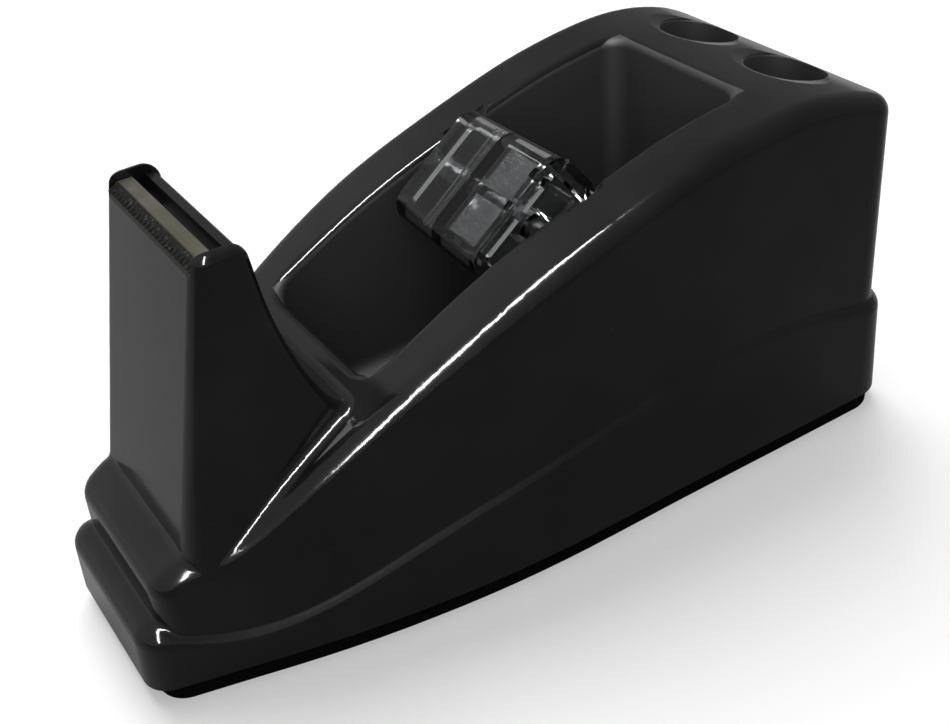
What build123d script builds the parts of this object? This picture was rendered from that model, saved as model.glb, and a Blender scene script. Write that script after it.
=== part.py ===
from build123d import *
import os

os.makedirs("parts", exist_ok=True)

# Desk tape dispenser with two pen holes. Millimetres, +Z up.
# x = 0 is the plane of symmetry, the cutter end points towards -Y, and z = 0 is
# the underside of the rubber pad. The finished bodies are moved at the end so that
# y = 0 is the middle of the length.

# ---------------------------------------------------------------- driving dimensions
PAD_T = 3.5                     # rubber pad under the whole body
PAD_INSET = 0.7                 # the pad stands inside the housing's lower rim
PAD_FRONT_INSET = 2.2           # and further in at the front
BASE_Z = PAD_T                  # lower rim of the housing
FRONT_Y = -74.2                 # front face of the skirt at its lower rim
REAR_Y = 75.4                   # rear face of the skirt at its lower rim
WALL_T = 2.4                    # wall of the moulded housing
TOP_Z = 82.0                    # height that the drafted walls are drawn up to
SKIRT_DRAWN_TO = 40.0
BEYOND = 40.0                   # half width of a cutter that clears the whole body
BELOW_BASE = 5.0                # overlap of a cutter below the lower rim
CORNER_ZONE = 14.0              # front corner edges lie within this distance of the front
STEEP = 0.9                     # an edge is upright when its direction's z is above this

# half width of the lower rim, front corner to rear corner (x, y)
FLANK = [(16.8, FRONT_Y), (20.5, -60.0), (24.4, -45.0), (27.2, -31.0), (29.2, -17.0),
         (30.4, -2.0), (30.9, 20.0), (31.5, 42.0), (32.3, REAR_Y)]
SKIRT_DRAFT = 0.038             # inward lean per millimetre of height
SKIRT_FRONT_R = 5.0             # plan radius of the skirt's front corners
SKIRT_REAR_R = 7.0

# the upper wall stands inside the skirt by these amounts at the lower rim
WALL_SIDE_IN = 1.2
WALL_FRONT_IN = 3.9
WALL_REAR_IN = 2.1
WALL_DRAFTS = (0.0222, 0.03, 0.0244)    # side, front and rear lean per millimetre of height
WALL_FRONT_R = 4.2
WALL_REAR_R = 6.0

# waved top of the skirt along the side (y, z)
SKIRT_TOP = [(-78.0, 15.9), (-70.5, 15.7), (-62.0, 12.5), (-52.5, 11.4), (-42.0, 13.5),
             (-25.5, 18.8), (-8.0, 23.0), (14.0, 27.2), (34.0, 29.4), (48.0, 29.3),
             (62.0, 26.8), (80.0, 23.2)]
SKIRT_EDGE_R = 3.4              # rounding of the skirt's upper edge
SKIRT_FOOT_R = 0.9              # hollow rounding where the upper wall meets the skirt
SKIRT_FOOT_Z = 4.5              # that hollow lies above this height

# top line of the body along the side, toe to rear (y, z)
ARCH = [(-78.0, 17.0), (-70.0, 22.6), (-64.5, 25.7), (-60.5, 26.4), (-56.0, 27.8), (-50.0, 31.3),
        (-44.0, 35.4), (-29.2, 44.8), (-18.0, 50.7), (-9.0, 54.8), (4.5, 59.6), (16.0, 63.2),
        (28.0, 66.4), (41.0, 68.4), (50.0, 68.9), (60.0, 67.8), (66.0, 66.1), (74.0, 62.4),
        (80.0, 58.5)]
RIM_R = 3.6                     # rounding of the body's upper edge
CAVITY_DROP = 3.0               # thickness of the top wall, measured upright

# cutter tower: side outline (y, z), from the toe over the crown to the saddle
TOWER_START = (-65.65, 17.7)
TOWER_CROWN = (-52.1, 75.0)      # sharp corner of the front face and the crown
TOWER_TOP = [(-70.0, 75.0), (-44.5, 75.0), (-43.4, 66.5)]
TOWER_TOP_R = 2.8               # rounding behind the crown
TOWER_BACK = [(-43.4, 66.5), (-41.8, 58.6), (-39.8, 52.4), (-37.2, 46.6), (-33.6, 42.6),
              (-28.0, 44.4)]
TOWER_ROOT = [(-28.0, 44.4), (-28.0, 17.2), (-70.0, 17.2), (-70.0, 75.0)]
TOWER_PLAN_LENGTH = 70.0        # the drawn plan runs far behind the saddle
TOWER_FRONT_RADII = (4.6, 2.4)  # plan radius of the front corners, low and high
TOWER_HALF_FOOT = 18.4          # half width at the toe
TOWER_HALF_TOP = 16.7           # half width at the crown
TOWER_FOOT_Z = 24.0
TOWER_TOP_Z = 75.0
TOWER_EDGE_R = 1.5              # rounding of the crown's and the saddle's edges
TOWER_EDGE_Z = 45.0             # those edges have their middles above this height
TOWER_CREASE_R = 2.0            # hollow rounding between the tower and the toe
TOWER_LOW_Z = 8.0               # the tower's side planes are drawn from here
TOE_TRIM = (-68.0, -50.0, 16.2, 31.0)   # front, rear, low and high limit of the trimmed foot
TOWER_CORE = [(-62.0, 5.0), (-60.5, 26.0), (-51.8, 66.0), (-46.6, 66.0), (-43.6, 54.0),
              (-39.5, 44.0), (-34.0, 38.5), (-34.0, 5.0)]
TOWER_CORE_HALF = 13.6

# tape well
WELL_HALF = 16.3
WELL_FRONT_Y = -28.9
WELL_REAR_Y = 46.2
WELL_FLOOR_Z = 20.0
WELL_CORNER_R = 4.0
WELL_FLOOR_R = 3.0
WELL_RIM_R = 1.4
WELL_RIM_Z = 42.0               # the rim lies above this height all round
WELL_RIM_NEAR = 0.1             # and no further than this outside the well's walls
WELL_SIDE_T = 4.4               # side walls of the well, thick enough for the axle slots
WELL_END_T = 2.4

# pen holes
PEN_X = 11.2
PEN_Y = 61.8
PEN_R = 7.3
PEN_FLOOR_Z = 14.0
PEN_WALL_T = 1.8
PEN_DECK_Z = 67.4               # height of the deck over the middle of a pen hole
PEN_DECK_TILT = 11.0            # the deck falls away to the rear by this angle there
PEN_DISH_R = 10.1               # shallow dished mouth, at the deck
PEN_DISH_DEPTH = 0.4
PEN_DISH_REACH = 3.0            # the dish is cut this many times higher than its depth
PEN_EDGE_R = 0.5

# hub and axle
AXLE_Y = 6.2
AXLE_Z = 55.5
AXLE_R = 2.2
AXLE_FIT = 0.06                 # radial running clearance of the hub on its axle
AXLE_HALF = 18.0
AXLE_CHAMFER = 0.5
HUB_HALF = 12.4                 # half length of the hub
HUB_SHIFT = -0.3                # the hub rests a little to the left on its axle
HUB_SEAM = 0.05                 # half of the gap between the two hub shells
HUB_NARROW = (22.7, 13.7)       # width and depth of the hub at its left end
HUB_WIDE = (24.0, 14.2)         # width and depth at its right end
HUB_CORNER_R = 3.8
HUB_TILT = 37.0                 # angle of the hub's upper face from horizontal
HUB_WALL = 1.3
HUB_WEB_T = 1.4
HUB_FRAME_T = 2.2               # end frame, measured along the axle
HUB_FRAME_IN = 1.6              # the frame stands this far in from the wall
HUB_FRAME_R = 1.2
HUB_RIB_S = 8.6                 # inner face of the long ribs, from the middle
HUB_RIB_T = 0.8
HUB_SLEEVE_R = 3.2
HUB_WINDOWS = (0.0, 6.6)        # places of the square windows across the upper face
HUB_WINDOW = 1.7
SLOT_LEAN = 45.0                # the axle slots lean back from vertical by this angle
SLOT_FIT = 0.08                 # radial clearance of the axle in its slots
SLOT_DEPTH = 2.0                # depth of a slot into the well's side wall
SLOT_OVERLAP = 1.0              # overlap of the slot cutter inside the well
SLOT_RISE = 24.0                # length that a slot is cut upwards from the axle

# cutter blade
BLADE_HALF = 14.8
BLADE_T = 0.6
BLADE_SEAT_Z = 73.2
BLADE_TIP = (-52.3, 72.4)       # lower edge of the toothed lip (y, z)
BLADE_BEND_Y = -50.9
BLADE_LIP_T = 0.4               # the lip is ground to this thickness at its edge
BLADE_LEG_Y = -49.2             # front face of the folded leg
BLADE_LEG_Z = 69.6
TOOTH_COUNT = 25
TOOTH_DEPTH = 1.1
TOOTH_OVERCUT = 0.6             # the tooth cutters start this far in front of the lip
SEAT_GAP = 0.05                 # gap between the blade and its seat
SEAT_SIDE_GAP = 0.2
SEAT_FRONT = (-56.0, 70.0)      # the seat's slope runs out in front of the tower here
GUARD_Y = -46.5                 # front of the guard wall behind the blade
GUARD_Z = 73.5                  # top of the guard wall, below the ears
GUARD_CREST_Y = -45.1           # the guard's rear is bevelled from this line down
GUARD_REAR = (-40.0, 66.1)      # the bevel's plane runs through this point (y, z)
GROOVE_Z = 71.2                 # floor of the open groove behind the blade

# base parts
PLATE_T = 2.2
PLATE_GAP = 0.25
PLATE_FRONT_R = 1.5
PLATE_REAR_R = 4.5
CAVITY_FRONT_R = 1.0
CAVITY_REAR_R = 4.0
SCREW_PLACES = [(14.5, -50.0, 30.0), (24.0, 24.0, 24.0), (17.0, 50.0, 24.0)]   # x, y, boss top
SCREW_R = 1.5
SCREW_HEAD_R = 2.8
SCREW_LENGTH = 9.0
SCREW_TIP_GAP = 0.5             # room between a screw's tip and the end of its hole
BOSS_R = 3.6
BALLAST_HALF = 17.5
BALLAST_FRONT_Y = -26.0
BALLAST_REAR_Y = 44.0
BALLAST_TOP_Z = 17.2
NOSE_HALF = 9.0
NOSE_FRONT_Y = -60.0
NOSE_REAR_Y = -35.5
NOSE_TOP_Z = 24.0
BALLAST_CHAMFER = 0.8

MIDDLE_Y = (FRONT_Y + REAR_Y) / 2
UPRIGHT = (Align.CENTER, Align.CENTER, Align.MIN)


def outline_face(edges):
    """Face in the plane x = 0 bounded by the given edges in (y, z)."""
    return Plane.YZ * make_face(edges)


def across(face, half):
    """Solid of a side outline swept the given half width to each side."""
    return extrude(Pos(-half, 0, 0) * face, amount=2 * half, dir=(1, 0, 0))


def polygon_across(points, half):
    """Solid of a straight-sided side outline swept to each side."""
    return across(outline_face(Polyline(*points, close=True)), half)


def below(points):
    """Everything below a smooth line of (y, z) points, wider than the body."""
    top = Spline(*points)
    start = top @ 0
    end = top @ 1
    low = BASE_Z - 2 * BELOW_BASE
    sides = Polyline((end.X, end.Y), (end.X, low), (start.X, low), (start.X, start.Y))
    return across(outline_face([top, sides]), BEYOND)


def flank_at(y):
    """Half width of the lower rim at a distance along the body."""
    behind = next(i for i, point in enumerate(FLANK) if point[1] >= y)
    after = FLANK[max(behind, 1)]
    before = FLANK[max(behind, 1) - 1]
    share = (y - before[1]) / (after[1] - before[1])
    return before[0] + (after[0] - before[0]) * share


def plan_face(z, side_in, front_in, rear_in):
    """Horizontal face at height z: the lower rim drawn in by the given amounts."""
    front = FRONT_Y + front_in
    rear = REAR_Y - rear_in
    rim = [(flank_at(front), front)] + FLANK[1:-1] + [(flank_at(rear), rear)]
    right = [(x - side_in, y) for x, y in rim]
    left = [(-x, y) for x, y in right]
    flank_r = Spline(*right)
    flank_l = Spline(*left)
    ends = [Line(flank_r @ 1, flank_l @ 1), Line(flank_l @ 0, flank_r @ 0)]
    return Pos(0, 0, z) * make_face([flank_r, flank_l] + ends)


def is_upright(edge):
    """Whether an edge runs up and down rather than along or across."""
    return abs(edge.tangent_at(0.5).Z) > STEEP


def upright_edges(solid, rear):
    """The solid's upright corner edges at the rear or at the front."""
    edges = [e for e in solid.edges() if is_upright(e)]
    if rear:
        return [e for e in edges if e.center().Y > 0]
    return [e for e in edges if e.center().Y < FRONT_Y + CORNER_ZONE]


def drafted_block(z_low, z_high, insets, drafts, front_r, rear_r):
    """Block with leaning walls between two heights, its upright corners rounded."""
    faces = []
    for z in (z_low, z_high):
        drawn_in = [inset + draft * (z - BASE_Z) for inset, draft in zip(insets, drafts)]
        faces.append(plan_face(z, *drawn_in))
    block = loft(faces, ruled=True)
    block = fillet(upright_edges(block, rear=True), rear_r)
    return fillet(upright_edges(block, rear=False), front_r)


def extruded_faces(solid):
    """Faces of a solid that came from a swept spline."""
    return [f for f in solid.faces() if f.geom_type == GeomType.EXTRUSION]


def skirt():
    """Lower band of the housing, its waved upper edge rounded."""
    drafts = (SKIRT_DRAFT,) * 3
    insets = (0.0, 0.0, 0.0)
    block = drafted_block(BASE_Z, SKIRT_DRAWN_TO, insets, drafts, SKIRT_FRONT_R, SKIRT_REAR_R)
    band = block & below(SKIRT_TOP)
    return fillet(extruded_faces(band)[0].edges(), SKIRT_EDGE_R)


def upper_block():
    """Leaning walls of the upper body, before anything shapes their top."""
    insets = (WALL_SIDE_IN, WALL_FRONT_IN, WALL_REAR_IN)
    return drafted_block(BASE_Z, TOP_Z, insets, WALL_DRAFTS, WALL_FRONT_R, WALL_REAR_R)


def wedge(block):
    """Upper body under its arched top line, the upper edge rounded."""
    body = block & below(ARCH)
    return fillet(extruded_faces(body)[0].edges(), RIM_R)


def tower_half(z):
    """Half width of the cutter tower at a height."""
    share = (z - TOWER_FOOT_Z) / (TOWER_TOP_Z - TOWER_FOOT_Z)
    return TOWER_HALF_FOOT + (TOWER_HALF_TOP - TOWER_HALF_FOOT) * share


def tower_plan(z, radius):
    """Plan of the cutter tower at a height, its front corners rounded."""
    lean = (TOWER_CROWN[0] - TOWER_START[0]) / (TOWER_CROWN[1] - TOWER_START[1])
    front = TOWER_START[0] + lean * (z - TOWER_START[1])
    plan = RectangleRounded(2 * tower_half(z), TOWER_PLAN_LENGTH, radius)
    return Pos(0, front + TOWER_PLAN_LENGTH / 2, z) * plan


def tower():
    """Cutter tower: leaning sides, rounded front corners, crown and hollow saddle."""
    top = FilletPolyline(*TOWER_TOP, radius=TOWER_TOP_R)
    outline = [top, Spline(*TOWER_BACK), Polyline(*TOWER_ROOT)]
    fin = across(outline_face(outline), BEYOND)
    low_r, high_r = TOWER_FRONT_RADII
    fin = fin & loft([tower_plan(TOWER_LOW_Z, low_r), tower_plan(TOP_Z, high_r)], ruled=True)
    curved = [e for e in fin.edges() if e.geom_type != GeomType.LINE]
    return fillet([e for e in curved if e.center().Z > TOWER_EDGE_Z], TOWER_EDGE_R)


def well_cutter():
    """Pocket for the tape roll."""
    length = WELL_REAR_Y - WELL_FRONT_Y
    mid = (WELL_REAR_Y + WELL_FRONT_Y) / 2
    plan = Pos(0, mid, WELL_FLOOR_Z) * RectangleRounded(2 * WELL_HALF, length, WELL_CORNER_R)
    pocket = extrude(plan, amount=TOP_Z - WELL_FLOOR_Z)
    floor_edges = pocket.faces().sort_by(Axis.Z)[0].edges()
    return fillet(floor_edges, WELL_FLOOR_R)


def pen_cutter(side):
    """Round pen hole with a dished mouth square to the sloping deck."""
    x = side * PEN_X
    hole = Pos(x, PEN_Y, PEN_FLOOR_Z) * Cylinder(PEN_R, TOP_Z - PEN_FLOOR_Z, align=UPRIGHT)
    flare = PEN_DISH_R - PEN_R
    reach = PEN_DISH_REACH + 1
    dish = Cone(PEN_R - flare, PEN_R + flare * PEN_DISH_REACH, reach * PEN_DISH_DEPTH, align=UPRIGHT)
    seat = Pos(x, PEN_Y, PEN_DECK_Z) * Rot(-PEN_DECK_TILT, 0, 0) * Pos(0, 0, -2 * PEN_DISH_DEPTH)
    dish = seat * dish
    cutter = hole + dish
    lip = [e for e in new_edges(hole, dish, combined=cutter) if e.center().Z < PEN_DECK_Z]
    return fillet(lip, PEN_EDGE_R)


def slot_cutter(side):
    """Open slot in a side wall of the well, leaning back, with a round seat for the axle."""
    r = AXLE_R + SLOT_FIT
    inner = WELL_HALF - SLOT_OVERLAP
    depth = SLOT_DEPTH + SLOT_OVERLAP
    seat = Rot(0, 90, 0) * Cylinder(r, depth, align=UPRIGHT)
    channel = Pos(depth / 2, 0, SLOT_RISE / 2) * Box(depth, 2 * r, SLOT_RISE)
    slot = Pos(inner, AXLE_Y, AXLE_Z) * Rot(-SLOT_LEAN, 0, 0) * (seat + channel)
    return slot if side > 0 else mirror(slot, Plane.YZ)


def blade_seat_cutter():
    """Seat for the cutter blade between the two ears of the crown, with its groove."""
    seat_z = BLADE_SEAT_Z - SEAT_GAP
    leg_y = BLADE_LEG_Y - SEAT_GAP
    wide = [(SEAT_FRONT[0], TOP_Z), SEAT_FRONT, (BLADE_BEND_Y, seat_z), (leg_y, seat_z),
            (leg_y, GROOVE_Z), (GUARD_Y, GROOVE_Z), (GUARD_Y, GUARD_Z), (GUARD_CREST_Y, GUARD_Z),
            GUARD_REAR, (GUARD_REAR[0], TOP_Z)]
    slit_y = BLADE_LEG_Y + BLADE_T + SEAT_GAP
    slit_z = BLADE_LEG_Z - SEAT_GAP
    slit = [(leg_y, seat_z), (leg_y, slit_z), (slit_y, slit_z), (slit_y, seat_z)]
    half = BLADE_HALF + SEAT_SIDE_GAP
    return polygon_across(wide, half) + polygon_across(slit, half)


def boss(x, y, top):
    """Screw boss standing down from the inside of the housing to the bottom plate."""
    low = BASE_Z + PLATE_T
    return Pos(x, y, low) * Cylinder(BOSS_R, top - low, align=UPRIGHT)


def screw_places():
    """Centres of the screws under the base and the tops of their bosses, on both sides."""
    return [(side * x, y, top) for x, y, top in SCREW_PLACES for side in (-1, 1)]


def cavity():
    """Hollow inside the housing, round the well, the pen tubes and the tower."""
    insets = (WALL_SIDE_IN + WALL_T, WALL_FRONT_IN + WALL_T, WALL_REAR_IN + WALL_T)
    low = BASE_Z - BELOW_BASE
    room = drafted_block(low, TOP_Z, insets, WALL_DRAFTS, CAVITY_FRONT_R, CAVITY_REAR_R)
    room = room & below([(y, z - CAVITY_DROP) for y, z in ARCH])
    length = WELL_REAR_Y - WELL_FRONT_Y + 2 * WELL_END_T
    mid = (WELL_REAR_Y + WELL_FRONT_Y) / 2
    trough = Box(2 * (WELL_HALF + WELL_SIDE_T), length, TOP_Z, align=UPRIGHT)
    room = room - Pos(0, mid, WELL_FLOOR_Z - WALL_T) * trough
    tube = Cylinder(PEN_R + PEN_WALL_T, TOP_Z, align=UPRIGHT)
    for side in (-1, 1):
        room = room - Pos(side * PEN_X, PEN_Y, PEN_FLOOR_Z - PEN_WALL_T) * tube
    return room + polygon_across(TOWER_CORE, TOWER_CORE_HALF)


def toe_crease(body, fin, joined):
    """Edge where the tower's front stands up from the toe."""
    edges = new_edges(body, fin, combined=joined)
    return [e for e in edges if e.center().Y < TOWER_START[0] + TOWER_CREASE_R * 2
            and abs(e.center().X) < TOWER_CORE_HALF]


def toe_trim(block):
    """Room outside the walls beside the toe, where the tower's foot is cut flush."""
    front, rear, low, high = TOE_TRIM
    room = Box(2 * BEYOND, rear - front, high - low, align=UPRIGHT)
    return Pos(0, (front + rear) / 2, low) * room - block


def housing():
    """Moulded body: skirt, arched wedge, cutter tower, tape well and pen holes."""
    block = upper_block()
    body = wedge(block)
    band = skirt()
    rooted = body + band
    foot = [e for e in new_edges(body, band, combined=rooted) if e.center().Z > SKIRT_FOOT_Z]
    rooted = fillet(foot, SKIRT_FOOT_R)
    fin = tower()
    whole = rooted + fin
    whole = fillet(toe_crease(rooted, fin, whole), TOWER_CREASE_R)
    whole = whole - toe_trim(block)
    whole = whole - well_cutter()
    whole = fillet(well_rim(whole), WELL_RIM_R)
    for side in (-1, 1):
        whole = whole - pen_cutter(side)
    whole = whole - cavity()
    for side in (-1, 1):
        whole = whole - slot_cutter(side)
    for x, y, top in screw_places():
        whole = whole + boss(x, y, top)
        whole = whole - Pos(x, y, BASE_Z) * Cylinder(SCREW_R + SEAT_GAP, SCREW_LENGTH, align=UPRIGHT)
    return whole - blade_seat_cutter()


def well_rim(solid):
    """Edges where the tape well breaks through the top of the body."""
    front = WELL_FRONT_Y - WELL_RIM_NEAR
    rear = WELL_REAR_Y + WELL_RIM_NEAR
    rim = []
    for e in solid.edges():
        c = e.center()
        inside = abs(c.X) < WELL_HALF + WELL_RIM_NEAR and front < c.Y < rear
        if inside and c.Z > WELL_RIM_Z and not is_upright(e):
            rim.append(e)
    return rim


def cutter_blade():
    """Folded steel strip: toothed lip bent down in front, flat top, leg pressed in a slit."""
    tip_y, tip_z = BLADE_TIP
    top = BLADE_SEAT_Z + BLADE_T
    rear = BLADE_LEG_Y + BLADE_T
    outline = [(tip_y, tip_z), (BLADE_BEND_Y, BLADE_SEAT_Z), (BLADE_LEG_Y, BLADE_SEAT_Z),
               (BLADE_LEG_Y, BLADE_LEG_Z), (rear, BLADE_LEG_Z), (rear, top),
               (BLADE_BEND_Y - BLADE_LIP_T / 2, top), (tip_y - BLADE_LIP_T, tip_z + BLADE_LIP_T)]
    strip = polygon_across(outline, BLADE_HALF)
    pitch = 2 * BLADE_HALF / TOOTH_COUNT
    front = tip_y - TOOTH_OVERCUT
    root = tip_y - BLADE_LIP_T + TOOTH_DEPTH
    for i in range(TOOTH_COUNT):
        x = -BLADE_HALF + i * pitch
        notch = make_face(Polyline((x, front), (x + pitch / 2, root), (x + pitch, front), close=True))
        strip = strip - extrude(Pos(0, 0, BLADE_LEG_Z) * notch, amount=top - BLADE_LEG_Z)
    return strip


def hub_axle():
    """Plain round axle that lies in the two slots of the well."""
    rod = Rot(0, 90, 0) * Cylinder(AXLE_R, 2 * AXLE_HALF)
    rod = chamfer(rod.edges().filter_by(GeomType.CIRCLE), AXLE_CHAMFER)
    return Pos(0, AXLE_Y, AXLE_Z) * rod


def hub_size(x):
    """Width and depth of the tapering hub at a distance along the axle."""
    share = (x + HUB_HALF) / (2 * HUB_HALF)
    return [narrow + (wide - narrow) * share for narrow, wide in zip(HUB_NARROW, HUB_WIDE)]


def hub_section(x, inset, radius):
    """Rounded cross-section of the hub, drawn in from its outside."""
    width, depth = hub_size(x)
    face = RectangleRounded(width - 2 * inset, depth - 2 * inset, radius)
    return Pos(x, 0, 0) * (Plane.YZ * face)


def hub_bar(start, end, inset, radius):
    """Solid tapering bar between two places along the axle."""
    faces = [hub_section(start, inset, radius), hub_section(end, inset, radius)]
    return loft(faces, ruled=True)


def hub_ribs(start, end):
    """Two long ribs that stand between the upper and the lower face of the hub."""
    length = end - start
    depth = hub_size(min(start, end))[1] - HUB_WALL
    mid = HUB_RIB_S + HUB_RIB_T / 2
    ribs = []
    for side in (-1, 1):
        rib = Box(length, HUB_RIB_T, depth, align=(Align.MIN, Align.CENTER, Align.CENTER))
        ribs.append(Pos(start, side * mid, 0) * rib)
    return ribs


def hub_shell(side):
    """One half of the clear hub: tapering tube with a web, a sleeve and an end frame."""
    start, end = sorted((side * HUB_SEAM, side * HUB_HALF))
    web = side * (HUB_SEAM + HUB_WEB_T)
    frame = side * (HUB_HALF - HUB_FRAME_T)
    room_start, room_end = sorted((web, side * (HUB_HALF + HUB_SEAM)))
    inner_r = HUB_CORNER_R - HUB_WALL
    shell = hub_bar(start, end, 0.0, HUB_CORNER_R)
    shell = shell - hub_bar(room_start, room_end, HUB_WALL, inner_r)
    sleeve = Cylinder(HUB_SLEEVE_R, end - start, align=UPRIGHT)
    shell = shell + Pos(start, 0, 0) * Rot(0, 90, 0) * sleeve
    if side > 0:
        for rib in hub_ribs(start, end):
            shell = shell + rib
    frame_start, frame_end = sorted((frame, side * HUB_HALF))
    ring = hub_bar(frame_start, frame_end, HUB_WALL / 2, HUB_CORNER_R - HUB_WALL / 2)
    ring = ring - hub_bar(frame_start, frame_end, HUB_WALL + HUB_FRAME_IN, HUB_FRAME_R)
    shell = shell + ring
    bore = Rot(0, 90, 0) * Cylinder(AXLE_R + AXLE_FIT, 4 * HUB_HALF)
    return shell - bore


def hub_placed(shell):
    """A hub shell turned to its resting angle on the axle."""
    return Pos(HUB_SHIFT, AXLE_Y, AXLE_Z) * Rot(HUB_TILT, 0, 0) * shell


def hub_windows():
    """Cutter for the small square windows in the upper face beside the right end."""
    x = HUB_HALF - HUB_FRAME_T / 2
    tall = HUB_WIDE[1]
    window = Box(HUB_WINDOW, HUB_WINDOW, tall, align=UPRIGHT)
    return [Pos(x, s, HUB_SLEEVE_R) * window for s in HUB_WINDOWS]


def base_pad():
    """Rubber pad under the body."""
    pad = extrude(plan_face(0.0, PAD_INSET, PAD_FRONT_INSET, PAD_INSET), amount=PAD_T)
    pad = fillet(upright_edges(pad, rear=True), SKIRT_REAR_R)
    return fillet(upright_edges(pad, rear=False), SKIRT_FRONT_R)


def countersunk(x, y, clearance):
    """Countersunk screw, or with clearance the hole for it, standing on the pad."""
    head_h = SCREW_HEAD_R - SCREW_R
    cone = Cone(SCREW_HEAD_R + clearance, SCREW_R + clearance, head_h, align=UPRIGHT)
    shank = Cylinder(SCREW_R + clearance, SCREW_LENGTH - SCREW_TIP_GAP, align=UPRIGHT)
    return Pos(x, y, BASE_Z) * (cone + shank)


def bottom_plate():
    """Plate that closes the housing from below."""
    side = WALL_SIDE_IN + WALL_T + PLATE_GAP
    rim = plan_face(BASE_Z, side, WALL_FRONT_IN + WALL_T + PLATE_GAP,
                    WALL_REAR_IN + WALL_T + PLATE_GAP)
    plate = extrude(rim, amount=PLATE_T)
    plate = fillet(upright_edges(plate, rear=True), PLATE_REAR_R)
    plate = fillet(upright_edges(plate, rear=False), PLATE_FRONT_R)
    for x, y, top in screw_places():
        plate = plate - countersunk(x, y, SEAT_GAP)
    return plate


def screws():
    """Countersunk screws that hold the bottom plate."""
    return Compound([countersunk(x, y, 0.0) for x, y, top in screw_places()])


def ballast(half, front_y, rear_y, top_z):
    """Chamfered steel block standing on the bottom plate."""
    low = BASE_Z + PLATE_T
    block = Box(2 * half, rear_y - front_y, top_z - low, align=UPRIGHT)
    block = chamfer(block.edges(), BALLAST_CHAMFER)
    return Pos(0, (front_y + rear_y) / 2, low) * block


right_shell = hub_shell(1)
for window in hub_windows():
    right_shell = right_shell - window
nodes = {
    "housing": housing(),
    "cutter_blade": cutter_blade(),
    "hub_axle": hub_axle(),
    "hub_shell_right": hub_placed(right_shell),
    "hub_shell_left": hub_placed(hub_shell(-1)),
    "ballast_slab": ballast(BALLAST_HALF, BALLAST_FRONT_Y, BALLAST_REAR_Y, BALLAST_TOP_Z),
    "ballast_nose": ballast(NOSE_HALF, NOSE_FRONT_Y, NOSE_REAR_Y, NOSE_TOP_Z),
    "bottom_plate": bottom_plate(),
    "bottom_plate_screws": screws(),
    "base_pad": base_pad(),
}
for name, solid in nodes.items():
    export_step(Pos(0, -MIDDLE_Y, 0) * solid, f"parts/{name}.step")
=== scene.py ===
"""Looks of a low desk tape dispenser with a clear tape hub and two pen holes in its rear deck."""

import logging
import math
from dataclasses import dataclass
from enum import Enum

import bmesh
import bpy
from mathutils import Matrix, Vector


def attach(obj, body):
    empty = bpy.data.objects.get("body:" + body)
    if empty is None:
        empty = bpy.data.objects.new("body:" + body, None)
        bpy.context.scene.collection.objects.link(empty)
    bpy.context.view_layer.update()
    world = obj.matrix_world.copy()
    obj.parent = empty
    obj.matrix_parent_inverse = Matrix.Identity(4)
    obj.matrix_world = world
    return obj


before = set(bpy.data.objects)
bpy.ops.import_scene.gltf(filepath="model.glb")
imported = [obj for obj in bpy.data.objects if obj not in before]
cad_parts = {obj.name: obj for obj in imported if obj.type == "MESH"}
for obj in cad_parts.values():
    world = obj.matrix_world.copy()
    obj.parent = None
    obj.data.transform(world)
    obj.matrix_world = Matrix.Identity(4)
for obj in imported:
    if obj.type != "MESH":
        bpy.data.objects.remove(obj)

logging.basicConfig(level=logging.INFO, format="%(name)s: %(message)s")
log = logging.getLogger("tape_dispenser")

Rgb = tuple[float, float, float]
Point = tuple[float, float, float]
Span = tuple[float, float]
Socket = bpy.types.NodeSocket

UNIT: Span = (0.0, 1.0)
WHITE: Rgb = (1.0, 1.0, 1.0)
MID_NOISE: Span = (0.3, 0.7)


class Body(Enum):
    """The bodies that new pieces ride on."""

    HUB = "hub"


class Slot(Enum):
    """The record's material slots; no piece is given one here."""

    HUB = "hub_clear"


class Ray(Enum):
    """The kinds of ray that the studio tells apart."""

    CAMERA = "Is Camera Ray"
    GLOSSY = "Is Glossy Ray"
    TRANSMISSION = "Is Transmission Ray"


def rgba(colour: Rgb) -> tuple[float, float, float, float]:
    """An opaque colour with its alpha."""
    return (*colour, 1.0)


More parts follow.
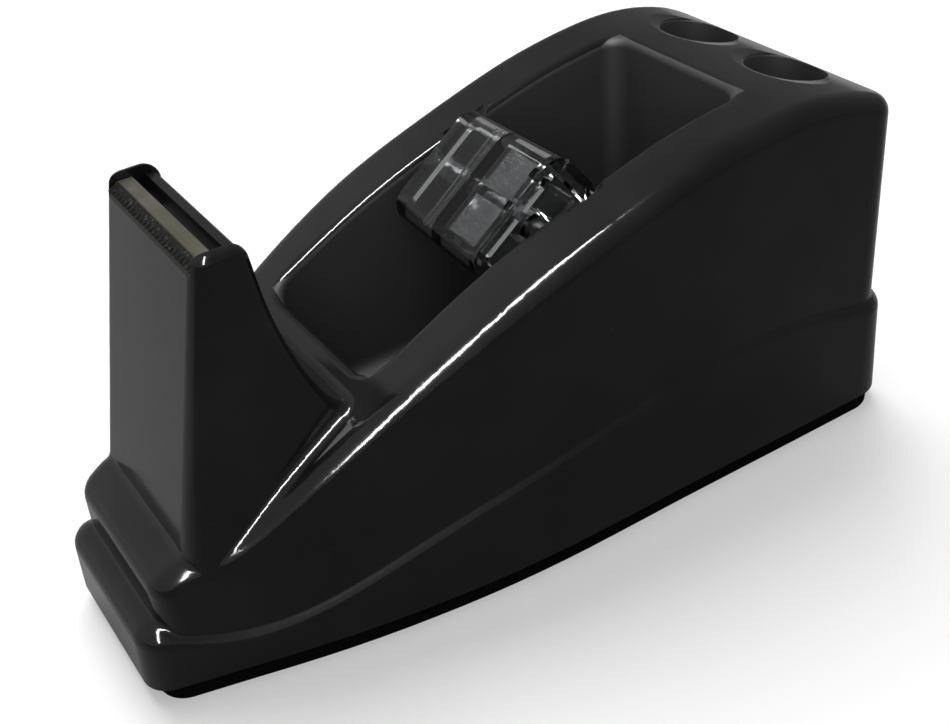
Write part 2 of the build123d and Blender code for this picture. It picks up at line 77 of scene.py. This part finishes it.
class Wiring:
    """A node tree while it is being written."""

    def __init__(self, tree: bpy.types.NodeTree, space: str) -> None:
        """Takes a tree to write in.

        Args:
            tree: the node tree.
            space: the texture coordinate output that places are measured in.
        """
        self.tree = tree
        self.place = self.node("TexCoord").outputs[space]

    def node(self, kind: str, **settings: object) -> bpy.types.Node:
        """Adds a node.

        Args:
            kind: the node's type without its ShaderNode prefix.
            **settings: properties of the node to set.

        Returns:
            The new node.
        """
        made = self.tree.nodes.new("ShaderNode" + kind)
        for key, value in settings.items():
            setattr(made, key, value)
        return made

    def link(self, source: Socket, target: Socket) -> None:
        """Joins an output socket to an input socket."""
        self.tree.links.new(source, target)

    def feed(self, target: Socket, value: object) -> None:
        """Links a socket to an input, or sets the input to a number or a colour."""
        if isinstance(value, bpy.types.NodeSocket):
            self.link(value, target)
        else:
            target.default_value = rgba(value) if isinstance(value, tuple) else value

    def axis(self, name: str) -> Socket:
        """One coordinate of the place, by its axis."""
        split = self.node("SeparateXYZ")
        self.link(self.place, split.inputs[0])
        return split.outputs[name]

    def span(self, value: Socket, ends: Span, results: Span = UNIT) -> Socket:
        """Maps a value smoothly from one range to another, held at the ends.

        Args:
            value: the socket to read.
            ends: the values that give the two results.
            results: the result at each end.

        Returns:
            The mapped value's socket.
        """
        made = self.node("MapRange", interpolation_type="SMOOTHSTEP")
        for key, number in zip((1, 2, 3, 4), ends + results):
            made.inputs[key].default_value = number
        self.link(value, made.inputs["Value"])
        return made.outputs["Result"]

    def fall(self, value: Socket, start: float, width: float) -> Socket:
        """A share that falls from 1 to 0 where a value passes start, over a width."""
        return self.span(value, (start, start + width), (1.0, 0.0))

    def blend(self, share: Socket, first: object, second: object) -> Socket:
        """Mixes two colours.

        Args:
            share: socket with the share of the second colour.
            first: a colour or a colour socket.
            second: a colour or a colour socket.

        Returns:
            The mixed colour's socket.
        """
        made = self.node("Mix", data_type="RGBA")
        self.link(share, made.inputs["Factor"])
        self.feed(made.inputs[6], first)
        self.feed(made.inputs[7], second)
        return made.outputs[2]

    def between(self, share: Socket, first: object, second: object) -> Socket:
        """Mixes two numbers or number sockets, share being that of the second."""
        made = self.node("Mix")
        self.link(share, made.inputs["Factor"])
        self.feed(made.inputs[2], first)
        self.feed(made.inputs[3], second)
        return made.outputs[0]

    def math(self, operation: str, *values: object) -> Socket:
        """Adds one sum.

        Args:
            operation: the Math node's operation.
            *values: numbers or sockets.

        Returns:
            The result's socket.
        """
        made = self.node("Math", operation=operation)
        for target, value in zip(made.inputs, values):
            self.feed(target, value)
        return made.outputs[0]


class Recipe(Wiring):
    """One material with a Principled shader while it is being written."""

    def __init__(self, name: str) -> None:
        """Starts a material.

        Args:
            name: the material's name.
        """
        self.material = bpy.data.materials.new(name)
        self.material.use_nodes = True
        super().__init__(self.material.node_tree, "Object")
        self.shader = self.tree.nodes["Principled BSDF"]

    def put(self, **values: object) -> None:
        """Sets the shader's own sockets, or links them, underscores standing for spaces."""
        for key, value in values.items():
            self.feed(self.shader.inputs[key.replace("_", " ")], value)

    def stretched(self, scale: Point) -> Socket:
        """Object coordinates scaled along each axis, for a grain that runs one way."""
        mapping = self.node("Mapping")
        mapping.inputs["Scale"].default_value = scale
        self.link(self.place, mapping.inputs["Vector"])
        return mapping.outputs["Vector"]

    def noise(self, size: float, detail: float = 3.0, harsh: float = 0.5,
              place: Socket | None = None) -> Socket:
        """Adds soft noise.

        Args:
            size: size of its largest features in metres.
            detail: how many finer layers are added.
            harsh: how strong the finer layers are.
            place: coordinates to use in place of the object's own.

        Returns:
            The socket that gives the noise from 0 to 1.
        """
        made = self.node("TexNoise")
        made.inputs["Scale"].default_value = 1.0 / size
        made.inputs["Detail"].default_value = detail
        made.inputs["Roughness"].default_value = harsh
        self.link(place or self.place, made.inputs["Vector"])
        return made.outputs["Fac"]

    def cells(self, size: float) -> bpy.types.Node:
        """Adds a cell pattern with cells of about this size in metres."""
        made = self.node("TexVoronoi")
        made.inputs["Scale"].default_value = 1.0 / size
        self.link(self.place, made.inputs["Vector"])
        return made

    def off_axis(self, centre: Point) -> Socket:
        """Distance from an upright line through a point, in metres."""
        made = self.node("VectorMath", operation="DISTANCE")
        self.link(self.stretched((1.0, 1.0, 0.0)), made.inputs[0])
        made.inputs[1].default_value = centre
        return made.outputs["Value"]

    def bump(self, height: Socket, depth: float, strength: float) -> None:
        """Adds relief to the shader's normal, over any relief that it has already.

        Args:
            height: socket with the relief from 0 to 1.
            depth: the relief's depth in metres.
            strength: how much of it shows.
        """
        made = self.node("Bump")
        made.inputs["Strength"].default_value = strength
        made.inputs["Distance"].default_value = depth
        self.link(height, made.inputs["Height"])
        normal = self.shader.inputs["Normal"]
        if normal.is_linked:
            self.link(normal.links[0].from_socket, made.inputs["Normal"])
        self.link(made.outputs["Normal"], normal)


@dataclass(frozen=True)
class Hollows:
    """The tape well and the pen holes, painted lighter than the body as painted fill light in these
    recesses, and dulled by dust.
    """

    # painted fill light: the hollows' colour is lighter than the body's so the recesses read brighter;
    # the roughness below is dust dulling the plastic
    colour: Rgb = (0.040, 0.040, 0.039)
    roughness: float = 0.55
    well_half: float = 0.0164
    well_middle: float = 0.0083
    well_reach: float = 0.0380
    hole_places: tuple[Point, ...] = ((-0.0112, 0.0612, 0.0), (0.0112, 0.0612, 0.0))
    hole_radius: float = 0.00735
    edge: float = 0.0001

    def share(self, r: Recipe) -> Socket:
        """Share that is 1 inside the hollows.

        Args:
            r: the recipe to write in.

        Returns:
            The share's socket.
        """
        across = r.math("ABSOLUTE", r.axis("X"))
        along = r.math("ABSOLUTE", r.math("SUBTRACT", r.axis("Y"), self.well_middle))
        share = r.math("MULTIPLY", r.fall(across, self.well_half, self.edge),
                       r.fall(along, self.well_reach, self.edge))
        for place in self.hole_places:
            hole = r.fall(r.off_axis(place), self.hole_radius, self.edge)
            share = r.math("MAXIMUM", share, hole)
        return share


@dataclass(frozen=True)
class MouldedPlastic:
    """Black moulded plastic: fine mould grain, faint flow mottle, dust and light scuffs."""

    name: str
    dark: Rgb = (0.0078, 0.0078, 0.0081)
    light: Rgb = (0.0112, 0.0112, 0.0115)
    dust: Rgb = (0.075, 0.073, 0.070)
    smooth: float = 0.11
    rough: float = 0.17
    ior: float = 1.45
    mottle_size: float = 0.016
    mottle_ends: Span = (0.35, 0.65)
    mottle_sheen: float = 0.6
    wave_size: float = 0.0096
    wave_depth: float = 0.00006
    wave_strength: float = 0.25
    grain_size: float = 0.00042
    grain_depth: float = 0.000005
    grain_strength: float = 0.9
    scuff_size: float = 0.006
    scuff_stretch: Point = (1.0, 0.35, 1.6)
    scuff_ends: Span = (0.62, 0.78)
    scuff_dust: float = 0.10
    scuff_sheen: float = 0.7
    speck_spacing: float = 0.0042
    speck_edge: Span = (0.035, 0.075)
    speck_choice: Span = (0.80, 0.90)
    speck_dust: float = 0.55
    hollows: Hollows = Hollows()

    def material(self) -> bpy.types.Material:
        """Writes the finish as a material."""
        r = Recipe(self.name)
        mottle = r.span(r.noise(self.mottle_size, 4.0, 0.6), self.mottle_ends)
        scuff = r.noise(self.scuff_size, 5.0, 0.7, r.stretched(self.scuff_stretch))
        scuffed = r.span(scuff, self.scuff_ends)
        speck = r.cells(self.speck_spacing)
        near = r.span(speck.outputs["Distance"], self.speck_edge, (1.0, 0.0))
        chosen = r.span(speck.outputs["Color"], self.speck_choice)
        dusty = r.math("MULTIPLY", r.math("MULTIPLY", near, chosen), self.speck_dust)
        inside = self.hollows.share(r)
        colour = r.blend(mottle, self.dark, self.light)
        colour = r.blend(r.math("MULTIPLY", scuffed, self.scuff_dust), colour, self.dust)
        colour = r.blend(dusty, colour, self.dust)
        # painted fill light: the well and pen holes take the lighter hollows colour
        colour = r.blend(inside, colour, self.hollows.colour)
        dulled = r.math("ADD", r.math("MULTIPLY", mottle, self.mottle_sheen),
                        r.math("MULTIPLY", scuffed, self.scuff_sheen))
        sheen = r.span(dulled, UNIT, (self.smooth, self.rough))
        sheen = r.math("MAXIMUM", sheen, r.math("MULTIPLY", inside, self.hollows.roughness))
        r.put(Base_Color=colour, Roughness=sheen, IOR=self.ior)
        r.bump(r.noise(self.wave_size, 2.0), self.wave_depth, self.wave_strength)
        r.bump(r.noise(self.grain_size, 3.0, 0.6), self.grain_depth, self.grain_strength)
        return r.material


@dataclass(frozen=True)
class TarnishedStrip:
    """Dull strip steel with drawn lines along x, olive stains and a pitted lip whose dark colour is
    painted shade of its serrated teeth.
    """

    name: str
    light: Rgb = (0.165, 0.155, 0.130)
    olive: Rgb = (0.125, 0.122, 0.083)
    # near black: painted shade of the teeth on the lip, and the colour the drawn lines darken towards
    pit_and_shade: Rgb = (0.006, 0.006, 0.005)
    spark: Rgb = (0.16, 0.155, 0.14)
    lip_ends: Span = (-0.0517, -0.0513)
    lip_dullness: float = 0.15
    metallic: float = 0.75
    roughness: Span = (0.40, 0.52)
    stain_size: float = 0.007
    stain_ends: Span = (0.38, 0.62)
    line_size: float = 0.0016
    line_stretch: Point = (0.05, 1.0, 1.0)
    line_ends: Span = (0.45, 0.75)
    line_share: float = 0.35
    line_depth: float = 0.00002
    line_strength: float = 0.5
    pit_size: float = 0.00062
    pit_ends: Span = (0.56, 0.74)
    pit_depth: float = 0.00025
    pit_strength: float = 0.8

    def material(self) -> bpy.types.Material:
        """Writes the finish as a material."""
        r = Recipe(self.name)
        lip = r.span(r.axis("Y"), self.lip_ends, (1.0, 0.0))
        stain = r.span(r.noise(self.stain_size, 3.0, 0.6), self.stain_ends)
        lines = r.noise(self.line_size, 4.0, 0.7, r.stretched(self.line_stretch))
        plate = r.blend(stain, self.light, self.olive)
        plate = r.blend(r.span(lines, self.line_ends, (0.0, self.line_share)), plate, self.pit_and_shade)
        pits = r.noise(self.pit_size, 4.0, 0.8)
        # the lip: painted shade of the teeth, broken by specks of bare steel
        shaded_lip = r.blend(r.span(pits, self.pit_ends), self.pit_and_shade, self.spark)
        rough = r.math("ADD", r.span(lines, MID_NOISE, self.roughness),
                       r.math("MULTIPLY", lip, self.lip_dullness))
        r.put(Base_Color=r.blend(lip, plate, shaded_lip), Roughness=rough, Metallic=self.metallic)
        r.bump(lines, self.line_depth, self.line_strength)
        r.bump(r.math("MULTIPLY", pits, lip), self.pit_depth, self.pit_strength)
        return r.material


@dataclass(frozen=True)
class ClearPlastic:
    """Clear moulded plastic with flow waves, fine scratches and a slight haze."""

    name: str
    colour: Rgb = (0.93, 0.945, 0.95)
    reflected: Rgb = (0.45, 0.45, 0.45)
    roughness: Span = (0.03, 0.11)
    clarity: float = 1.0
    ior: float = 1.5
    haze_size: float = 0.006
    haze_ends: Span = (0.40, 0.70)
    haze_shade: float = 0.93
    wave_size: float = 0.007
    wave_depth: float = 0.00012
    wave_strength: float = 0.35
    scratch_size: float = 0.0022
    scratch_stretch: Point = (0.4, 2.2, 1.0)
    scratch_ends: Span = (0.45, 0.80)
    scratch_depth: float = 0.00001
    scratch_strength: float = 0.4

    def material(self) -> bpy.types.Material:
        """Writes the finish as a material."""
        r = Recipe(self.name)
        haze = r.span(r.noise(self.haze_size, 4.0, 0.6), self.haze_ends)
        hazy = tuple(self.haze_shade * part for part in self.colour)
        scratch = r.noise(self.scratch_size, 5.0, 0.75, r.stretched(self.scratch_stretch))
        r.put(Base_Color=r.blend(haze, self.colour, hazy),
              Roughness=r.span(scratch, self.scratch_ends, self.roughness),
              IOR=self.ior, Transmission_Weight=self.clarity, Specular_Tint=self.reflected)
        r.bump(r.noise(self.wave_size, 2.0), self.wave_depth, self.wave_strength)
        r.bump(scratch, self.scratch_depth, self.scratch_strength)
        return r.material


@dataclass(frozen=True)
class TurnedSteel:
    """Turned or drawn steel with fine rings across its length and some tarnish."""

    name: str
    light: Rgb = (0.30, 0.30, 0.31)
    dark: Rgb = (0.12, 0.12, 0.125)
    roughness: Span = (0.26, 0.42)
    ring_size: float = 0.0004
    ring_stretch: Point = (1.0, 0.1, 0.1)
    ring_depth: float = 0.00001
    ring_strength: float = 0.6
    tarnish_size: float = 0.004
    tarnish_ends: Span = (0.40, 0.68)

    def material(self) -> bpy.types.Material:
        """Writes the finish as a material."""
        r = Recipe(self.name)
        rings = r.noise(self.ring_size, 2.0, 0.6, r.stretched(self.ring_stretch))
        tarnish = r.span(r.noise(self.tarnish_size, 4.0, 0.65), self.tarnish_ends)
        r.put(Base_Color=r.blend(tarnish, self.light, self.dark),
              Roughness=r.span(rings, MID_NOISE, self.roughness), Metallic=1.0)
        r.bump(rings, self.ring_depth, self.ring_strength)
        return r.material


@dataclass(frozen=True)
class CastIron:
    """Rough cast iron with a sandy skin and rust bloom."""

    name: str
    iron: Rgb = (0.10, 0.10, 0.10)
    rust: Rgb = (0.16, 0.075, 0.035)
    metallic: float = 0.6
    roughness: Span = (0.55, 0.80)
    skin_size: float = 0.0009
    skin_depth: float = 0.00015
    skin_strength: float = 0.8
    bloom_size: float = 0.012
    bloom_ends: Span = (0.55, 0.72)
    bloom_share: float = 0.6

    def material(self) -> bpy.types.Material:
        """Writes the finish as a material."""
        r = Recipe(self.name)
        skin = r.noise(self.skin_size, 5.0, 0.7)
        bloom = r.span(r.noise(self.bloom_size, 5.0, 0.65), self.bloom_ends, (0.0, self.bloom_share))
        r.put(Base_Color=r.blend(bloom, self.iron, self.rust),
              Roughness=r.span(skin, MID_NOISE, self.roughness), Metallic=self.metallic)
        r.bump(skin, self.skin_depth, self.skin_strength)
        return r.material


@dataclass(frozen=True)
class DenseRubber:
    """Matt black rubber sheet with a fine pitted skin and grey dust."""

    name: str
    black: Rgb = (0.0007, 0.0007, 0.0007)
    dusty: Rgb = (0.0028, 0.0028, 0.0026)
    roughness: Span = (0.72, 0.95)
    specular: float = 0.03
    dust_size: float = 0.005
    dust_ends: Span = (0.45, 0.75)
    pore_size: float = 0.0008
    pore_ends: Span = (0.05, 0.45)
    pore_depth: float = 0.00008
    skin_size: float = 0.0006
    skin_depth: float = 0.00005
    relief_strength: float = 0.7

    def material(self) -> bpy.types.Material:
        """Writes the finish as a material."""
        r = Recipe(self.name)
        skin = r.noise(self.skin_size, 5.0, 0.75)
        dust = r.span(r.noise(self.dust_size, 4.0, 0.7), self.dust_ends)
        pores = r.span(r.cells(self.pore_size).outputs["Distance"], self.pore_ends)
        r.put(Base_Color=r.blend(dust, self.black, self.dusty),
              Roughness=r.span(skin, MID_NOISE, self.roughness), Specular_IOR_Level=self.specular)
        r.bump(pores, self.pore_depth, self.relief_strength)
        r.bump(skin, self.skin_depth, self.relief_strength)
        return r.material


def dress(node: str, material: bpy.types.Material) -> None:
    """Gives every material slot of a solid one finish.

    Args:
        node: the solid's name.
        material: its new material.
    """
    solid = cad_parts[node]
    if not solid.material_slots:
        solid.data.materials.append(material)
    for slot in solid.material_slots:
        slot.material = material
    log.info("%s dressed in %s", node, material.name)


@dataclass
class Housing:
    """Moulded body with its plate, pad, ballast and screws."""

    plastic: MouldedPlastic = MouldedPlastic("body_plastic")
    plate: MouldedPlastic = MouldedPlastic("plate_plastic", smooth=0.5, rough=0.65, grain_depth=0.00002)
    rubber: DenseRubber = DenseRubber("pad_rubber")
    iron: CastIron = CastIron("ballast_iron")
    steel: TurnedSteel = TurnedSteel("screw_steel")

    def dress(self) -> None:
        """Gives the base's solids their finishes."""
        dress("housing", self.plastic.material())
        dress("bottom_plate", self.plate.material())
        dress("base_pad", self.rubber.material())
        iron = self.iron.material()
        dress("ballast_slab", iron)
        dress("ballast_nose", iron)
        dress("bottom_plate_screws", self.steel.material())


@dataclass
class Cutter:
    """Toothed strip on the tower's crown."""

    steel: TarnishedStrip = TarnishedStrip("strip_steel")

    def dress(self) -> None:
        """Gives the blade its finish."""
        dress("cutter_blade", self.steel.material())


@dataclass(frozen=True)
class ClearBar:
    """A thin rib or pane inside the hub: a softened box in the hub's own directions, in metres."""

    name: str
    low: Point
    high: Point
    rounding: float = 0.00018
    rounding_steps: int = 3

    def build(self, turn: Matrix, material: bpy.types.Material) -> None:
        """Makes the bar with softened edges and mounts it on the hub.

        Args:
            turn: placement of the hub's own directions in the part's frame.
            material: the bar's finish.
        """
        work = bmesh.new()
        (x0, y0, z0), (x1, y1, z1) = self.low, self.high
        near, far = ([work.verts.new((x, y, z)) for y, z in ((y0, z0), (y1, z0), (y1, z1), (y0, z1))]
                     for x in (x0, x1))
        work.faces.new(near)
        work.faces.new(reversed(far))
        for i, vertex in enumerate(near):
            work.faces.new([vertex, near[i - 1], far[i - 1], far[i]])
        bmesh.ops.bevel(work, geom=list(work.edges), offset=self.rounding,
                        segments=self.rounding_steps, affect="EDGES", profile=0.5)
        bmesh.ops.recalc_face_normals(work, faces=list(work.faces))
        mesh = bpy.data.meshes.new(self.name)
        work.to_mesh(mesh)
        work.free()
        mesh.transform(turn)
        mesh.shade_smooth()
        mesh.materials.append(material)
        bar = bpy.data.objects.new(self.name, mesh)
        bpy.context.scene.collection.objects.link(bar)
        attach(bar, Body.HUB.value)
        log.info("%s rides on the hub", self.name)


@dataclass
class TapeHub:
    """Clear hub shells on their steel axle, with thin frosted ribs and panes inside the shells."""

    axle: Point = (-0.0003, 0.0056, 0.0555)
    tilt: float = 37.0
    bars: tuple[ClearBar, ...] = (
        ClearBar("hub_rib_outer", (-0.0043, -0.0098, 0.0036), (-0.0038, 0.0098, 0.0052)),
        ClearBar("hub_rib_middle", (-0.0031, -0.0098, 0.0036), (-0.0027, 0.0098, 0.0052)),
        ClearBar("hub_rib_inner", (-0.0021, -0.0098, 0.0036), (-0.0018, 0.0098, 0.0052), 0.00012),
        ClearBar("hub_pane_upper", (0.0019, 0.0009, 0.0043), (0.0094, 0.0083, 0.0052)),
        ClearBar("hub_pane_lower", (0.0019, -0.0083, 0.0043), (0.0094, -0.0009, 0.0052)),
    )
    clear: ClearPlastic = ClearPlastic("clear_plastic")
    frosted: ClearPlastic = ClearPlastic("frosted_plastic", colour=(0.66, 0.67, 0.675),
                                         roughness=(0.22, 0.34), wave_depth=0.00003, clarity=0.84)
    # painted shade: the axle's steel is much darker than the screws' so that it looks dark inside the
    # clear hub
    steel: TurnedSteel = TurnedSteel("axle_steel", light=(0.11, 0.11, 0.115),
                                     dark=(0.035, 0.035, 0.037))

    def dress(self) -> None:
        """Gives the shells and the axle their finishes and mounts the ribs and panes."""
        clear = self.clear.material()
        dress("hub_shell_left", clear)
        dress("hub_shell_right", clear)
        dress("hub_axle", self.steel.material())
        frosted = self.frosted.material()
        turn = Matrix.Translation(self.axle) @ Matrix.Rotation(math.radians(self.tilt), 4, "X")
        for bar in self.bars:
            bar.build(turn, frosted)


@dataclass(frozen=True)
class Lamp:
    """One soft rectangular lamp aimed at the object."""

    name: str
    place: Point
    size: Span
    power: float
    glossy: bool = True
    diffuse: bool = True
    spared: tuple[str, ...] = ()

    def build(self, target: Point) -> None:
        """Puts the lamp in the scene.

        Args:
            target: the point that it faces.
        """
        data = bpy.data.lights.new(self.name, "AREA")
        data.shape = "RECTANGLE"
        data.size, data.size_y = self.size
        data.energy = self.power
        lamp = bpy.data.objects.new(self.name, data)
        lamp.location = self.place
        aim = Vector(target) - Vector(self.place)
        lamp.rotation_euler = aim.to_track_quat("-Z", "Y").to_euler()
        lamp.visible_glossy = self.glossy
        lamp.visible_diffuse = self.diffuse
        lamp.visible_camera = False
        bpy.context.scene.collection.objects.link(lamp)
        if self.spared:
            self.spare(lamp)

    def spare(self, lamp: bpy.types.Object) -> None:
        """Keeps the lamp's light off the solids that it spares."""
        group = bpy.data.collections.new(self.name + "_spared")
        for node in self.spared:
            group.objects.link(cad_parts[node])
        lamp.light_linking.receiver_collection = group
        for member in group.collection_objects:
            member.light_linking.link_state = "EXCLUDE"


@dataclass
class Studio:
    """Pale floor, soft lamps, world and the camera."""

    floor_half: float = 3.0
    floor_seen: Rgb = (0.92, 0.92, 0.92)
    floor_mirrored: Rgb = (0.27, 0.27, 0.27)
    # painted shadow: the floor seen in reflections and bounce light is darker to the right of the
    # object
    floor_mirrored_painted_shadow: Rgb = (0.11, 0.11, 0.11)
    painted_shadow_edge: Span = (0.0, 0.06)
    floor_camera_share: float = 0.30
    floor_mirror_share: float = 0.05
    ambient: float = 0.55
    sky_turn: Span = (-0.3, 0.45)
    sky_mirrored: Span = (0.95, 0.34)
    sky_through: float = 0.42
    camera_place: Point = (0.1612, -0.09893, 0.16311)
    azimuth: float = 58.594
    elevation: float = 36.205
    roll: float = -4.561
    lens: float = 49.06
    sensor: float = 36.0
    nearest: float = 0.01
    target: Point = (0.0, 0.0, 0.035)
    lamps: tuple[Lamp, ...] = (
        Lamp("key", (-0.60, 0.15, 1.10), (0.9, 0.9), 17.0, glossy=False),
        Lamp("strip", (0.50, -0.35, 0.87), (0.11, 1.7), 38.0, diffuse=False,
             spared=("hub_shell_left", "hub_shell_right")),
    )

    def shares(self, wiring: Wiring, shares: dict[Ray, float]) -> Socket:
        """Share of plain white for each kind of ray.

        Args:
            wiring: the tree to write in.
            shares: the share for each kind of ray that gets any.

        Returns:
            The share's socket.
        """
        path = wiring.node("LightPath")
        total: object = 0.0
        for ray, share in shares.items():
            total = wiring.math("MULTIPLY_ADD", path.outputs[ray.value], share, total)
        return total

    def finish(self, wiring: Wiring, share: Socket, shaders: tuple[Socket, Socket],
               kind: str) -> None:
        """Mixes two shaders into an output.

        Args:
            wiring: the tree to write in.
            share: share of the second shader.
            shaders: the two shaders.
            kind: the output node's type.
        """
        mix = wiring.node("MixShader")
        for target, source in zip(mix.inputs, (share, *shaders)):
            wiring.link(source, target)
        wiring.link(mix.outputs[0], wiring.node(kind).inputs["Surface"])

    def floor(self) -> None:
        """Lays the pale floor, near white to the camera apart from the object's shadow; in reflections
        and bounce light it is grey, with a painted shadow darkening it to the right.
        """
        mesh = bpy.data.meshes.new("floor")
        h = self.floor_half
        mesh.from_pydata([(-h, -h, 0), (h, -h, 0), (h, h, 0), (-h, h, 0)], [], [(0, 1, 2, 3)])
        floor = bpy.data.objects.new("floor", mesh)
        bpy.context.scene.collection.objects.link(floor)
        material = bpy.data.materials.new("pale_floor")
        material.use_nodes = True
        material.node_tree.nodes.clear()
        wiring = Wiring(material.node_tree, "Object")
        # painted shadow to the right of x = 0, seen by all rays but the camera's
        right = wiring.span(wiring.axis("X"), self.painted_shadow_edge)
        mirrored = wiring.blend(right, self.floor_mirrored, self.floor_mirrored_painted_shadow)
        path = wiring.node("LightPath")
        colour = wiring.blend(path.outputs[Ray.CAMERA.value], mirrored, self.floor_seen)
        diffuse = wiring.node("BsdfDiffuse")
        wiring.link(colour, diffuse.inputs["Color"])
        share = self.shares(wiring, {Ray.CAMERA: self.floor_camera_share,
                                     Ray.GLOSSY: self.floor_mirror_share,
                                     Ray.TRANSMISSION: self.floor_mirror_share})
        white = wiring.node("Emission")
        self.finish(wiring, share, (diffuse.outputs[0], white.outputs[0]), "OutputMaterial")
        mesh.materials.append(material)

    def world(self) -> None:
        """White surroundings to the camera, a dim fill elsewhere, dimmer in mirrors to the rear."""
        world = bpy.data.worlds.new("studio")
        world.use_nodes = True
        world.node_tree.nodes.clear()
        wiring = Wiring(world.node_tree, "Generated")
        sky = wiring.span(wiring.axis("Y"), self.sky_turn, self.sky_mirrored)
        path = wiring.node("LightPath")
        seen = wiring.between(path.outputs[Ray.GLOSSY.value], 1.0, sky)
        seen = wiring.between(path.outputs[Ray.TRANSMISSION.value], seen, self.sky_through)
        fill, white = (wiring.node("Background") for _ in range(2))
        for light in (fill, white):
            light.inputs["Color"].default_value = rgba(WHITE)
        wiring.link(wiring.math("MULTIPLY", seen, self.ambient), fill.inputs["Strength"])
        share = self.shares(wiring, {Ray.CAMERA: 1.0})
        self.finish(wiring, share, (fill.outputs[0], white.outputs[0]), "OutputWorld")
        bpy.context.scene.world = world

    def camera(self) -> None:
        """Sets the camera at the photograph's viewing angle."""
        a, e, r = (math.radians(v) for v in (self.azimuth, self.elevation, self.roll))
        back = Vector((math.sin(a) * math.cos(e), -math.cos(a) * math.cos(e), math.sin(e)))
        right = (-back).cross(Vector((0, 0, 1))).normalized()
        up = right.cross(-back)
        turned = math.cos(r) * right + math.sin(r) * up
        upright = -math.sin(r) * right + math.cos(r) * up
        data = bpy.data.cameras.new("camera")
        data.lens = self.lens
        data.sensor_width = self.sensor
        data.clip_start = self.nearest
        camera = bpy.data.objects.new("camera", data)
        turn = Matrix((turned, upright, back)).transposed()
        camera.matrix_world = Matrix.Translation(self.camera_place) @ turn.to_4x4()
        bpy.context.scene.collection.objects.link(camera)
        bpy.context.scene.camera = camera

    def build(self) -> None:
        """Sets up the whole studio."""
        self.floor()
        self.world()
        for lamp in self.lamps:
            lamp.build(self.target)
        self.camera()
        bpy.context.scene.view_settings.view_transform = "Standard"


def main() -> None:
    """Builds and dresses every piece, then the studio round it."""
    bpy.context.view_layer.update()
    for part in (Housing(), Cutter(), TapeHub()):
        part.dress()
        log.info("%s is dressed", type(part).__name__)
    Studio().build()
    log.info("studio is set")


if __name__ == "__main__":
    main()
